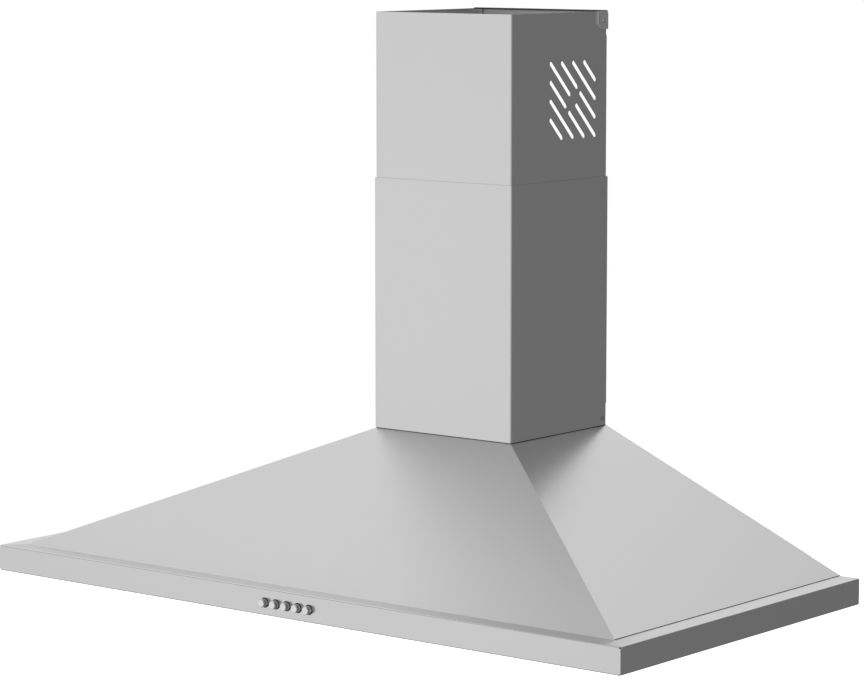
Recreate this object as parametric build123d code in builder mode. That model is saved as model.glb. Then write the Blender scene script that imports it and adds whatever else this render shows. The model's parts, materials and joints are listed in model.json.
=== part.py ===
from build123d import *
import math
import os

# Pyramid range hood for a wall, in millimetres.
# Origin on the wall plane under the middle of the canopy; +X right, +Y into the wall, +Z up.

os.makedirs("parts", exist_ok=True)

# Canopy sheet
CANOPY_W = 900.0
CANOPY_D = 460.0
LIP_H = 30.0
LEDGE = 24.0
PYRAMID_H = 140.5
SHEET = 0.8
BEND_IN = 0.4
LIP_UNDER = 14.0
LIP_RETURN = 20.0
RETURN_GAP = 0.5
PANEL_INSET = 0.5
SEAM = 0.6
CORNER_RELIEF = 1.8

# Chimney
CHIMNEY_W = 200.0
CHIMNEY_D = 186.0
LOWER_H = 293.5
UPPER_H = 290.0
UPPER_SHOWN = 192.1
SIDE_GAP = 0.5
FRONT_GAP = 0.4
REAR_GAP = 0.9
REAR_FOLD = 14.0
SHADOW_GAP = 1.0
NOTCH = 2.0
LOWER_NOTCH_H = 26.0
UPPER_NOTCH_H = 7.0

# Vent slots in the upper chimney
VENT_SIZE = 88.4
VENT_PITCH = 21.5
VENT_SLOT = 5.2
VENT_BRIDGE = 14.6
VENT_SIDE_BRIDGE = 6.3
VENT_FROM_WALL = 68.0
VENT_FROM_TOP = 100.2

# Wall bracket and hanging holes
BRACKET_H = 20.7
BRACKET_PROUD = 1.2
BRACKET_T = 1.0
BRACKET_EAR = 18.0
BRACKET_CHAMFER = 2.0
BRACKET_RELIEF = 2.0
BRACKET_HOLES = 120.0
BRACKET_HOLE_R = 2.75
EAR_SCREW_FROM_WALL = 9.9
KEYHOLE_SPACING = 300.0
KEYHOLE_Z = 92.0
KEYHOLE_R = 6.0
KEYHOLE_NECK_R = 3.0
SAFETY_SPACING = 600.0
SAFETY_R = 2.75
SAFETY_RISE = 15.0

# Top frame
FRAME_INSET = 1.0
FRAME_FRONT_BAR = 7.0
FRAME_REAR_BAR = 16.0
BLOWER_CLEAR = 4.0
TAB_H = 18.0
TAB_W = 12.0
TAB_FROM_WALL = 9.0
TAB_SCREW_RISE = 8.5

# Push buttons and their housing
BUTTON_COUNT = 5
BUTTON_PITCH = 16.0
BUTTON_Z = 14.4
BUTTON_R = 5.0
BUTTON_EDGE = 1.2
BUTTON_OUT = 6.5
BUTTON_INSIDE = 3.0
BUTTON_RING = 0.8
BUTTON_TRAVEL = 3.0
STEM_W = 5.0
STEM_L = 16.0
STEM_ROOM = 2.0
HOUSING_WALL = 4.0
HOUSING_SIDE = 4.5
HOUSING_BACK = 6.0
BLADE_TAB_W = 6.3
BLADE_TAB_T = 0.8
BLADE_TAB_L = 8.0

# Filters in the bottom panel
FILTER_W = 370.0
FILTER_D = 268.0
FILTER_X = 212.0
FILTER_REAR = 44.0
FILTER_T = 9.0
FILTER_GAP = 1.5
FILTER_BAR = 14.0
FILTER_EDGE = 1.2
FILTER_LIFT = 0.2
GROOVE = 4.0
MESH_T = 2.0
MESH_COLS = 5
MESH_ROWS = 5
MESH_STRAND = 4.0
HOOK_W = 24.0
HOOK_T = 1.0
HOOK_REACH = 9.0
HANDLE_W = 72.0
HANDLE_D = 30.0
RECESS_W = 56.0
FINGER_ROOM = 6.0
RECESS_WALL = 6.0
RECESS_ROOF = 1.5
LATCH_W = 20.0
LATCH_T = 2.0
LATCH_REACH = 5.0
LATCH_TRAVEL = 7.0
LATCH_TAIL = 5.0
LATCH_GRIP_W = 34.0
LATCH_GRIP_T = 2.0
LATCH_GRIP_H = 5.0
STIFFENER_H = 5.0
STIFFENER_SHORT = 20.0

# Lamps in the bottom panel
LAMP_X = 250.0
LAMP_FROM_FRONT = 68.0
LAMP_R = 36.0
BEZEL_RIM = 7.0
BEZEL_BEVEL = 0.8
BEZEL_SLEEVE_T = 1.6
BEZEL_SLEEVE_H = 7.0
LENS_SEAT = 2.0
LENS_T = 2.0
LAMP_H = 22.0
LAMP_BASE_H = 6.0
LAMP_CORE_IN = 8.0
LAMP_FINS = 8
LAMP_FIN_T = 2.4
LAMP_FIN_IN = 1.0

# Blower scroll and its hangers
IMPELLER_R = 60.0
TONGUE_GAP = 6.0
VOLUTE_STEP = 8.0
SCROLL_T = 1.2
BLOWER_BACK = 22.0
BLOWER_RISE = 85.0
BLOWER_DROP = 43.5
THROAT_MARGIN = 1.5
INLET_OVER = 4.0
INLET_LIP = 4.0
HANGER_W = 26.0
HANGER_T = 1.2
HANGER_REACH = 26.0
HANGER_BELOW_TOP = 6.0

# Impeller, shaft and motor
BLADE_DEPTH = 12.0
BLADE_COUNT = 30
BLADE_T = 1.2
BLADE_SWEEP = 4.5
BLADE_BOW = 1.6
BLADE_TIP_IN = 2.0
RING_OVER = 1.0
RING_W = 2.0
IMPELLER_SIDE_GAP = 10.0
HUB_R = 11.0
HUB_LEFT = 10.0
HUB_RIGHT = 6.0
NUT_R = 7.5
NUT_T = 6.0
SHAFT_R = 4.0
SHAFT_PAST_NUT = 2.0
SHAFT_END_IN = 1.5
SHAFT_ROOM = 1.0
MOTOR_R = 36.0
MOTOR_FROM_HUB = 4.0
BELL_IN = 6.0
BELL_BEVEL = 3.0
BELL_LEFT = 7.0
BELL_RIGHT = 5.0
MOTOR_VENTS = 8
MOTOR_VENT_W = 4.0
MOTOR_VENT_L = 11.0
MOTOR_VENT_DEEP = 3.0
BUSH_R = 9.0
BUSH_L = 8.0
ARM_W = 14.0
ARM_T = 2.0
ARM_END = 6.0
ARM_PLATE_IN = 4.0
ARM_EYE_IN = 2.0

# Outlet spigot and back-draft flaps
SPIGOT_R = 60.0
SPIGOT_WALL = 1.8
SPIGOT_H = 42.0
SPIGOT_FLANGE = 12.0
SPIGOT_FLANGE_T = 2.0
SPIGOT_SCREW_IN = 8.0
FLAP_RISE = 18.9
FLAP_T = 1.2
FLAP_GAP = 1.2
FLAP_STOP_W = 3.0
PIN_R = 1.5
PIN_END_IN = 0.5
KNUCKLE_R = 2.8
KNUCKLE_GAP = 0.6
KNUCKLE_JOIN = 1.0
KNUCKLE_STEPS = (-2.5, 1.0)

# Electrical pieces on the rear panel
CAP_R = 15.0
CAP_L = 58.0
CAP_FROM_FRAME = 90.0
CAP_RISE = 32.0
CAP_TAB_APART = 10.0
CLIP_T = 1.2
CLIP_W = 12.0
CLIP_FOOT = 11.0
BOX_W = 84.0
BOX_D = 34.0
BOX_H = 50.0
BOX_T = 2.0
BOX_FROM_FRAME = 88.0
BOX_RISE = 34.0
LID_RIM_T = 1.6
LID_RIM_H = 3.0
BLOCK_W = 64.0
BLOCK_H = 18.0
BLOCK_D = 16.0
BLOCK_POLES = 5
BLOCK_PITCH = 12.0
BLOCK_ROW = 9.0
BLOCK_HOLE = 4.4
BLOCK_HOLE_DEEP = 4.0
GLAND_FROM_FRONT = 40.0
GLAND_R = 6.0
GLAND_BORE_R = 4.0
GLAND_HEAD_R = 10.0
GLAND_HEAD_H = 9.0
GLAND_NUT_R = 9.5
GLAND_NUT_H = 4.0
GLAND_BELOW = 12.0

# Screws
SCREW_R = 1.4
SCREW_HOLE_R = 1.6
SCREW_HEAD_R = 3.0
SCREW_HEAD_H = 1.6
SCREW_PAST = 3.0

# Fits
RUN_FIT = 0.05
SLIDE_GAP = 0.3

# Heights and edges that follow from them
canopy_top = LIP_H + PYRAMID_H
chimney_base = canopy_top + SHADOW_GAP
lower_top = chimney_base + LOWER_H
chimney_top = lower_top + UPPER_SHOWN
upper_base = chimney_top - UPPER_H
half_w = CANOPY_W / 2
foot_x = half_w - LEDGE
foot_front = -CANOPY_D + LEDGE
half_chimney = CHIMNEY_W / 2
bend_out = BEND_IN + SHEET
panel_z = SHEET
panel_top = 2 * SHEET


def keep_piece(builder, name):
    """Label a finished piece and write it out."""
    piece = builder.part
    piece.label = name
    export_step(piece, f"parts/{name}.step")


def side_name(side):
    """The word for the left (-1) or right (+1) side."""
    return "left" if side < 0 else "right"


# Lip: three strips of one folded section, mitred at the front corners and relieved where bends meet.

lip_inner = LEDGE + LIP_UNDER
button_xs = [(i - (BUTTON_COUNT - 1) / 2) * BUTTON_PITCH for i in range(BUTTON_COUNT)]
button_spots = [(x, BUTTON_Z) for x in button_xs]


def lip_section(sketch):
    """Draw the folded section in a sketch whose X runs inwards from the lip's outer face."""
    with BuildLine() as outline:
        Polyline(
            (0, 0),
            (LIP_RETURN, 0),
            (LIP_RETURN, SHEET),
            (SHEET, SHEET),
            (SHEET, LIP_H - SHEET),
            (lip_inner, LIP_H - SHEET),
            (lip_inner, LIP_H),
            (0, LIP_H),
            close=True,
        )
    make_face(outline.edges())
    fillet(sketch.vertices().group_by(Axis.X)[1], radius=BEND_IN)
    fillet(sketch.vertices().group_by(Axis.X)[0], radius=bend_out)


def corner_plane(side):
    """The mitre plane through a front corner of the lip, facing the side strip."""
    return Plane(origin=(side * half_w, -CANOPY_D, 0), z_dir=(side, 1, 0))


def relieve_corner(side):
    """Cut the bend reliefs at the top and foot of a front corner of the lip."""
    with Locations([(side * half_w, -CANOPY_D, z) for z in (0, LIP_H)]):
        Box(2 * CORNER_RELIEF, 2 * CORNER_RELIEF, 2 * CORNER_RELIEF, mode=Mode.SUBTRACT)


with BuildPart() as front_lip:
    with BuildSketch(Plane(origin=(0, -CANOPY_D, 0), x_dir=(0, 1, 0), z_dir=(1, 0, 0))) as section:
        lip_section(section)
    extrude(amount=half_w, both=True)
    for side in (-1, 1):
        split(bisect_by=corner_plane(side), keep=Keep.BOTTOM)
        relieve_corner(side)
    with BuildSketch(Plane.XZ.offset(CANOPY_D)):
        with Locations(button_spots):
            Circle(BUTTON_R + BUTTON_RING)
    extrude(amount=-SHEET, mode=Mode.SUBTRACT)
keep_piece(front_lip, "front_lip")

for side in (-1, 1):
    with BuildPart() as side_lip:
        inwards = Plane(origin=(side * half_w, -SHEET, 0), x_dir=(-side, 0, 0), z_dir=(0, side, 0))
        with BuildSketch(inwards) as section:
            lip_section(section)
        extrude(amount=-side * (CANOPY_D - SHEET))
        split(bisect_by=corner_plane(side), keep=Keep.TOP)
        relieve_corner(side)
    keep_piece(side_lip, f"{side_name(side)}_lip")


# Pyramid: three flat panels cut from one frustum, mitred at the hips, with a seam at the sides' feet.

front_run = CANOPY_D - LEDGE - CHIMNEY_D
side_run = foot_x - half_chimney
front_normal = Vector(0, -PYRAMID_H, front_run).normalized()
front_slope = Plane(origin=(0, foot_front, LIP_H), z_dir=front_normal)


def side_normal(side):
    """Outward normal of the left or right pyramid panel."""
    return Vector(side * PYRAMID_H, 0, side_run).normalized()


def side_slope(side):
    """Outer face plane of the left or right pyramid panel."""
    return Plane(origin=(side * foot_x, 0, LIP_H), z_dir=side_normal(side))


def hip_plane(side):
    """Mitre plane through a hip, facing the front panel."""
    return Plane(origin=(side * foot_x, foot_front, LIP_H), z_dir=front_normal - side_normal(side))


with BuildPart() as frustum:
    with BuildSketch(Plane.XY.offset(LIP_H)):
        with Locations((0, (foot_front - SHEET) / 2)):
            Rectangle(2 * foot_x, -foot_front - SHEET)
    extrude(amount=PYRAMID_H)
    split(bisect_by=front_slope, keep=Keep.BOTTOM)
    for side in (-1, 1):
        split(bisect_by=side_slope(side), keep=Keep.BOTTOM)

with BuildPart() as front_panel:
    add(frustum.part)
    split(bisect_by=front_slope.offset(-SHEET), keep=Keep.TOP)
    for side in (-1, 1):
        split(bisect_by=hip_plane(side), keep=Keep.TOP)
keep_piece(front_panel, "front_panel")

for side in (-1, 1):
    with BuildPart() as side_panel:
        add(frustum.part)
        split(bisect_by=side_slope(side).offset(-SHEET), keep=Keep.TOP)
        split(bisect_by=hip_plane(side), keep=Keep.BOTTOM)
        split(bisect_by=Plane.XY.offset(LIP_H + SEAM), keep=Keep.TOP)
    keep_piece(side_panel, f"{side_name(side)}_panel")


# Rear panel against the wall, with its bottom fold and the hanging holes.

keyhole_spots = [(s * KEYHOLE_SPACING / 2, KEYHOLE_Z) for s in (-1, 1)]
neck_rise = KEYHOLE_R + 2 * KEYHOLE_NECK_R
safety_z = LIP_H + SAFETY_RISE
safety_spots = [(s * SAFETY_SPACING / 2, safety_z) for s in (-1, 1)]

with BuildPart() as rear_panel:
    with BuildSketch(Plane.XZ) as rear_outline:
        with BuildLine():
            Polyline(
                (-half_w, 0),
                (half_w, 0),
                (half_w, LIP_H),
                (foot_x, LIP_H),
                (half_chimney, canopy_top),
                (-half_chimney, canopy_top),
                (-foot_x, LIP_H),
                (-half_w, LIP_H),
                close=True,
            )
        make_face()
        for end in (0, -1):
            fillet(rear_outline.vertices().group_by(Axis.X)[end], radius=bend_out)
        with Locations(keyhole_spots):
            Circle(KEYHOLE_R, mode=Mode.SUBTRACT)
        with Locations([(x, z + neck_rise / 2) for x, z in keyhole_spots]):
            SlotCenterToCenter(neck_rise, 2 * KEYHOLE_NECK_R, rotation=90, mode=Mode.SUBTRACT)
        with Locations(safety_spots):
            Circle(SAFETY_R, mode=Mode.SUBTRACT)
    extrude(amount=SHEET)
    with BuildSketch(Plane.XY):
        with Locations((0, -LIP_RETURN / 2)):
            Rectangle(CANOPY_W - 2 * (LIP_RETURN + RETURN_GAP), LIP_RETURN)
    extrude(amount=SHEET)
keep_piece(rear_panel, "rear_panel")


# Top frame between pyramid and chimney: plate, blower opening, two upright chimney tabs, cable hole.

scroll_half = SPIGOT_R - SPIGOT_WALL
scroll_out = scroll_half + SCROLL_T
frame_x = half_chimney - FRAME_INSET
frame_front = -CHIMNEY_D + FRAME_INSET
frame_hole_x = scroll_out + BLOWER_CLEAR
frame_hole_front = frame_front + FRAME_FRONT_BAR
tab_x = half_chimney - SHEET
tab_screw_z = chimney_base + TAB_SCREW_RISE
gland_x = -(frame_hole_x + frame_x) / 2
gland_y = -CHIMNEY_D + GLAND_FROM_FRONT

with BuildPart() as top_frame:
    with BuildSketch(Plane.XY.offset(canopy_top)):
        with Locations((0, frame_front / 2)):
            Rectangle(2 * frame_x, -frame_front)
        with Locations((0, (frame_hole_front - FRAME_REAR_BAR) / 2)):
            Rectangle(2 * frame_hole_x, -frame_hole_front - FRAME_REAR_BAR, mode=Mode.SUBTRACT)
        with Locations((gland_x, gland_y)):
            Circle(GLAND_R + SLIDE_GAP / 2, mode=Mode.SUBTRACT)
    extrude(amount=SHADOW_GAP)
    with BuildSketch(Plane.XY.offset(canopy_top)):
        with Locations([(s * (tab_x - SHEET / 2), -TAB_FROM_WALL) for s in (-1, 1)]):
            Rectangle(SHEET, TAB_W)
    extrude(amount=SHADOW_GAP + TAB_H)
    with BuildSketch(Plane.YZ.offset(-half_chimney)):
        with Locations((-TAB_FROM_WALL, tab_screw_z)):
            Circle(SCREW_HOLE_R)
    extrude(amount=CHIMNEY_W, mode=Mode.SUBTRACT)
keep_piece(top_frame, "top_frame")


# Chimney covers: folded sleeves, open towards the wall but for a fold on each side.

def sleeve(width, front, rear):
    """Draw a sleeve's section in the current sketch: front, two sides and two rear folds."""
    depth = rear - front
    with Locations((0, (front + rear) / 2)):
        RectangleRounded(width, depth, bend_out)
        RectangleRounded(width - 2 * SHEET, depth - 2 * SHEET, BEND_IN, mode=Mode.SUBTRACT)
    with Locations((0, rear)):
        Rectangle(width - 2 * REAR_FOLD, 3 * SHEET, mode=Mode.SUBTRACT)


upper_w = CHIMNEY_W - 2 * (SHEET + SIDE_GAP)
upper_front = -CHIMNEY_D + SHEET + FRONT_GAP
upper_rear = -SHEET - REAR_GAP
bracket_z = chimney_top - BRACKET_H / 2
bend_x = (upper_w + BRACKET_T) / 2

with BuildPart() as lower_chimney:
    with BuildSketch(Plane.XY.offset(chimney_base)):
        sleeve(CHIMNEY_W, -CHIMNEY_D, 0)
    extrude(amount=LOWER_H)
    with BuildSketch(Plane.YZ.offset(-half_chimney)):
        with Locations((-NOTCH / 2, chimney_base + LOWER_NOTCH_H / 2)):
            Rectangle(NOTCH, LOWER_NOTCH_H)
        with Locations((-TAB_FROM_WALL, tab_screw_z)):
            Circle(SCREW_HOLE_R)
    extrude(amount=CHIMNEY_W, mode=Mode.SUBTRACT)
keep_piece(lower_chimney, "lower_chimney")


def vent_slots():
    """Draw the slanted slots in the current sketch; the three middle ones are broken by a bridge."""
    half = VENT_SIZE / 2
    count = int(VENT_SIZE / VENT_PITCH)
    bridges = {0: VENT_BRIDGE, 1: VENT_SIDE_BRIDGE}
    for step in range(1 - count, count):
        shift = step * VENT_PITCH / 2
        reach = (half - abs(shift)) * math.sqrt(2)
        bridge = bridges.get(abs(step), 0)
        spans = [(-reach, -bridge / 2), (bridge / 2, reach)] if bridge else [(-reach, reach)]
        for start, end in spans:
            middle = (start + end) / 2 / math.sqrt(2)
            with Locations((shift + middle, shift - middle)):
                SlotCenterToCenter(end - start - VENT_SLOT, VENT_SLOT, rotation=-45)


with BuildPart() as upper_chimney:
    with BuildSketch(Plane.XY.offset(upper_base)):
        sleeve(upper_w, upper_front, upper_rear)
    extrude(amount=UPPER_H)
    with BuildSketch(Plane.YZ.offset(-half_chimney)):
        with Locations((-VENT_FROM_WALL, chimney_top - VENT_FROM_TOP)):
            vent_slots()
        with Locations((upper_rear - NOTCH / 2, chimney_top - BRACKET_H - UPPER_NOTCH_H / 2)):
            Rectangle(NOTCH, UPPER_NOTCH_H)
        with Locations((-EAR_SCREW_FROM_WALL, bracket_z)):
            Circle(SCREW_HOLE_R)
    extrude(amount=CHIMNEY_W, mode=Mode.SUBTRACT)
keep_piece(upper_chimney, "upper_chimney")


# Wall bracket of the upper chimney: back plate on the wall, a little taller than the ear on each side.

with BuildPart() as wall_bracket:
    with BuildSketch(Plane.XZ):
        with Locations((0, bracket_z)):
            Rectangle(upper_w + 2 * BRACKET_T, BRACKET_H)
        with Locations([(s * BRACKET_HOLES / 2, bracket_z) for s in (-1, 1)]):
            Circle(BRACKET_HOLE_R, mode=Mode.SUBTRACT)
    extrude(amount=BRACKET_T)
    with BuildSketch(Plane.YZ.offset(-upper_w / 2 - BRACKET_T)) as ear:
        with Locations((-BRACKET_EAR / 2, bracket_z)):
            Rectangle(BRACKET_EAR, BRACKET_H)
        chamfer(ear.vertices().group_by(Axis.X)[0], length=BRACKET_CHAMFER)
        with Locations((-EAR_SCREW_FROM_WALL, bracket_z)):
            Circle(SCREW_HOLE_R, mode=Mode.SUBTRACT)
    extrude(amount=BRACKET_T)
    extrude(ear.sketch.moved(Location((upper_w + BRACKET_T, 0, 0))), amount=BRACKET_T)
    fillet(wall_bracket.edges().filter_by(Axis.Z).group_by(Axis.Y)[-1], radius=BEND_IN + BRACKET_T)
    with BuildSketch(Plane.XZ):
        with Locations((0, chimney_top)):
            Rectangle(2 * bend_x - BRACKET_RELIEF, 2 * BRACKET_PROUD)
    extrude(amount=BRACKET_T)
    relief_z = chimney_top - BRACKET_RELIEF / 2
    with Locations([(s * bend_x, -BRACKET_RELIEF / 2, relief_z) for s in (-1, 1)]):
        Box(BRACKET_RELIEF, BRACKET_RELIEF, BRACKET_RELIEF, mode=Mode.SUBTRACT)
keep_piece(wall_bracket, "wall_bracket")


def side_screws(out_x, spot, clamped):
    """A screw on each side at spot (y, z), with its head on the face at out_x."""
    for side in (-1, 1):
        with Locations(Location((side * out_x, spot[0], spot[1]), (0, 90 * side, 0))):
            Cylinder(SCREW_HEAD_R, SCREW_HEAD_H, align=(Align.CENTER, Align.CENTER, Align.MIN))
            Cylinder(SCREW_R, clamped + SCREW_PAST, align=(Align.CENTER, Align.CENTER, Align.MAX))


with BuildPart() as chimney_screws:
    side_screws(half_chimney, (-TAB_FROM_WALL, tab_screw_z), 2 * SHEET)
keep_piece(chimney_screws, "chimney_screws")

with BuildPart() as ear_screws:
    side_screws(upper_w / 2 + BRACKET_T, (-EAR_SCREW_FROM_WALL, bracket_z), BRACKET_T + SHEET)
keep_piece(ear_screws, "ear_screws")


# Push buttons: a polished cap and a square stem that runs in the switch housing behind the lip.

lip_back = -CANOPY_D + SHEET
cap_back = lip_back + BUTTON_INSIDE
pocket_back = cap_back + BUTTON_TRAVEL + SLIDE_GAP
stem_end = cap_back + STEM_L
stem_hole_end = stem_end + BUTTON_TRAVEL + STEM_ROOM
housing_back = stem_end + BUTTON_TRAVEL + HOUSING_BACK
button_names = ["lamp", "stop", "low", "medium", "high"]

for x, name in zip(button_xs, button_names):
    with BuildPart() as button:
        with BuildSketch(Plane.XZ.offset(CANOPY_D + BUTTON_OUT)):
            with Locations((x, BUTTON_Z)):
                Circle(BUTTON_R)
        extrude(amount=-(BUTTON_OUT + SHEET + BUTTON_INSIDE))
        chamfer(button.edges().sort_by(Axis.Y)[0], length=BUTTON_EDGE)
        with BuildSketch(Plane.XZ.offset(-cap_back)):
            with Locations((x, BUTTON_Z)):
                Rectangle(STEM_W, STEM_W)
        extrude(amount=-STEM_L)
    keep_piece(button, f"{name}_button")

housing_w = BUTTON_PITCH * BUTTON_COUNT + 2 * HOUSING_WALL
housing_h = 2 * (BUTTON_R + HOUSING_SIDE)

with BuildPart() as switch_housing:
    with BuildSketch(Plane.XZ.offset(-lip_back)):
        with Locations((0, BUTTON_Z)):
            Rectangle(housing_w, housing_h)
    extrude(amount=-(housing_back - lip_back))
    with BuildSketch(Plane.XZ.offset(-lip_back)):
        with Locations(button_spots):
            Circle(BUTTON_R + SLIDE_GAP)
    extrude(amount=-(pocket_back - lip_back), mode=Mode.SUBTRACT)
    with BuildSketch(Plane.XZ.offset(-lip_back)):
        with Locations(button_spots):
            Rectangle(STEM_W + 2 * RUN_FIT, STEM_W + 2 * RUN_FIT)
    extrude(amount=-(stem_hole_end - lip_back), mode=Mode.SUBTRACT)
    with BuildSketch(Plane.XZ.offset(-housing_back)):
        with Locations(button_spots):
            Rectangle(BLADE_TAB_W, BLADE_TAB_T)
    extrude(amount=-BLADE_TAB_L)
keep_piece(switch_housing, "switch_housing")


# Bottom panel: lies on the lip's returns, with apertures for the filters and the lamps.

filter_front = -FILTER_REAR - FILTER_D
filter_mid = -FILTER_REAR - FILTER_D / 2
lamp_y = -CANOPY_D + LAMP_FROM_FRONT
lamp_hole_r = LAMP_R - BEZEL_RIM
panel_in = SHEET + PANEL_INSET
fold_xs = [s * FILTER_X + e * (FILTER_W + SHEET) / 2 for s in (-1, 1) for e in (-1, 1)]

with BuildPart() as bottom_panel:
    with BuildSketch(Plane.XY.offset(panel_z)):
        with Locations((0, -CANOPY_D / 2)):
            Rectangle(CANOPY_W - 2 * panel_in, CANOPY_D - 2 * panel_in)
        with Locations([(s * FILTER_X, filter_mid) for s in (-1, 1)]):
            Rectangle(FILTER_W, FILTER_D, mode=Mode.SUBTRACT)
        with Locations([(s * LAMP_X, lamp_y) for s in (-1, 1)]):
            Circle(lamp_hole_r, mode=Mode.SUBTRACT)
    extrude(amount=SHEET)
    with BuildSketch(Plane.XY.offset(panel_z)):
        with Locations([(x, filter_mid) for x in fold_xs]):
            Rectangle(SHEET, FILTER_D - STIFFENER_SHORT)
    extrude(amount=SHEET + STIFFENER_H)
keep_piece(bottom_panel, "bottom_panel")


# Filters: frame with rear hooks, expanded mesh, handle block and sliding latch on each side.

filter_z = panel_z + FILTER_LIFT
frame_w = FILTER_W - 2 * FILTER_GAP
frame_d = FILTER_D - 2 * FILTER_GAP
mesh_z = filter_z + (FILTER_T - MESH_T) / 2
mesh_in = FILTER_BAR - GROOVE
hook_z = panel_top + SLIDE_GAP
front_edge = filter_front + FILTER_GAP
rear_edge = -FILTER_REAR - FILTER_GAP
handle_front = front_edge + FILTER_BAR
handle_back = handle_front + HANDLE_D
recess_front = handle_front + RECESS_WALL
recess_d = LATCH_TAIL + LATCH_TRAVEL + FINGER_ROOM
latch_slot = LATCH_W + 2 * SLIDE_GAP
latch_room = LATCH_T + 2 * SLIDE_GAP
tongue_front = filter_front - LATCH_REACH
tongue_back = recess_front + LATCH_TAIL
cell_x = (frame_w - 2 * FILTER_BAR) / MESH_COLS
cell_y = (frame_d - 2 * FILTER_BAR) / MESH_ROWS
open_x = cell_x - MESH_STRAND * math.hypot(cell_x, cell_y) / cell_y
open_y = open_x * cell_y / cell_x
cell_spots = [
    (x * cell_x, filter_mid + y * cell_y)
    for grid in (0, 1)
    for x in [i - (MESH_COLS - grid - 1) / 2 for i in range(MESH_COLS - grid)]
    for y in [i - (MESH_ROWS - grid - 1) / 2 for i in range(MESH_ROWS - grid)]
]
mesh_spots = [
    (x, y)
    for x, y in cell_spots
    if abs(x) > (HANDLE_W + cell_x) / 2 or y > handle_back + cell_y / 2
]

for side in (-1, 1):
    x = side * FILTER_X
    with BuildPart() as filter_frame:
        with BuildSketch(Plane.XY.offset(filter_z)):
            with Locations((x, filter_mid)):
                Rectangle(frame_w, frame_d)
                Rectangle(frame_w - 2 * FILTER_BAR, frame_d - 2 * FILTER_BAR, mode=Mode.SUBTRACT)
        extrude(amount=FILTER_T)
        chamfer(filter_frame.faces().sort_by(Axis.Z)[0].outer_wire().edges(), length=FILTER_EDGE)
        with BuildSketch(Plane.XY.offset(mesh_z)):
            with Locations((x, filter_mid)):
                Rectangle(frame_w - 2 * mesh_in, frame_d - 2 * mesh_in)
        extrude(amount=MESH_T, mode=Mode.SUBTRACT)
        with BuildSketch(Plane.XY.offset(hook_z)):
            with Locations([(x + s * FILTER_W / 3, rear_edge) for s in (-1, 1)]):
                Rectangle(HOOK_W, HOOK_REACH + FILTER_GAP, align=(Align.CENTER, Align.MIN))
        extrude(amount=HOOK_T)
        with BuildSketch(Plane.XY.offset(hook_z - SLIDE_GAP)):
            with Locations((x, front_edge + FILTER_BAR / 2)):
                Rectangle(latch_slot, FILTER_BAR)
        extrude(amount=latch_room, mode=Mode.SUBTRACT)
    keep_piece(filter_frame, f"filter_frame_{side_name(side)}")

    with BuildPart() as filter_mesh:
        with BuildSketch(Plane.XY.offset(mesh_z)):
            with Locations((x, filter_mid)):
                Rectangle(frame_w - 2 * (mesh_in + SLIDE_GAP), frame_d - 2 * (mesh_in + SLIDE_GAP))
            with Locations((x, (front_edge + handle_back) / 2)):
                Rectangle(HANDLE_W, handle_back - front_edge, mode=Mode.SUBTRACT)
            with Locations([(x + dx, y) for dx, y in mesh_spots]):
                Polygon(
                    (open_x / 2, 0),
                    (0, open_y / 2),
                    (-open_x / 2, 0),
                    (0, -open_y / 2),
                    mode=Mode.SUBTRACT,
                )
        extrude(amount=MESH_T)
    keep_piece(filter_mesh, f"filter_mesh_{side_name(side)}")

    with BuildPart() as filter_handle:
        with BuildSketch(Plane.XY.offset(filter_z)):
            with Locations((x, handle_front + HANDLE_D / 2)):
                Rectangle(HANDLE_W, HANDLE_D)
        extrude(amount=FILTER_T)
        with BuildSketch(Plane.XY.offset(filter_z)):
            with Locations((x, recess_front + recess_d / 2)):
                Rectangle(RECESS_W, recess_d)
        extrude(amount=FILTER_T - RECESS_ROOF, mode=Mode.SUBTRACT)
        with BuildSketch(Plane.XY.offset(hook_z - SLIDE_GAP)):
            with Locations((x, handle_front + RECESS_WALL / 2)):
                Rectangle(latch_slot, RECESS_WALL)
        extrude(amount=latch_room, mode=Mode.SUBTRACT)
    keep_piece(filter_handle, f"filter_handle_{side_name(side)}")

    with BuildPart() as filter_latch:
        with BuildSketch(Plane.XY.offset(hook_z)):
            with Locations((x, (tongue_front + tongue_back) / 2)):
                Rectangle(LATCH_W, tongue_back - tongue_front)
        extrude(amount=LATCH_T)
        with BuildSketch(Plane.XY.offset(hook_z)):
            with Locations((x, tongue_back - LATCH_GRIP_T / 2)):
                Rectangle(LATCH_GRIP_W, LATCH_GRIP_T)
        extrude(amount=LATCH_GRIP_H)
    keep_piece(filter_latch, f"filter_latch_{side_name(side)}")


# Lamps: bevelled bezel under the panel, lens on the bezel's inner lip, finned lamp body above it.

sleeve_r = lamp_hole_r - SLIDE_GAP
lens_r = sleeve_r - BEZEL_SLEEVE_T
lens_top = panel_z + LENS_T
sleeve_top = panel_z + BEZEL_SLEEVE_H

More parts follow.
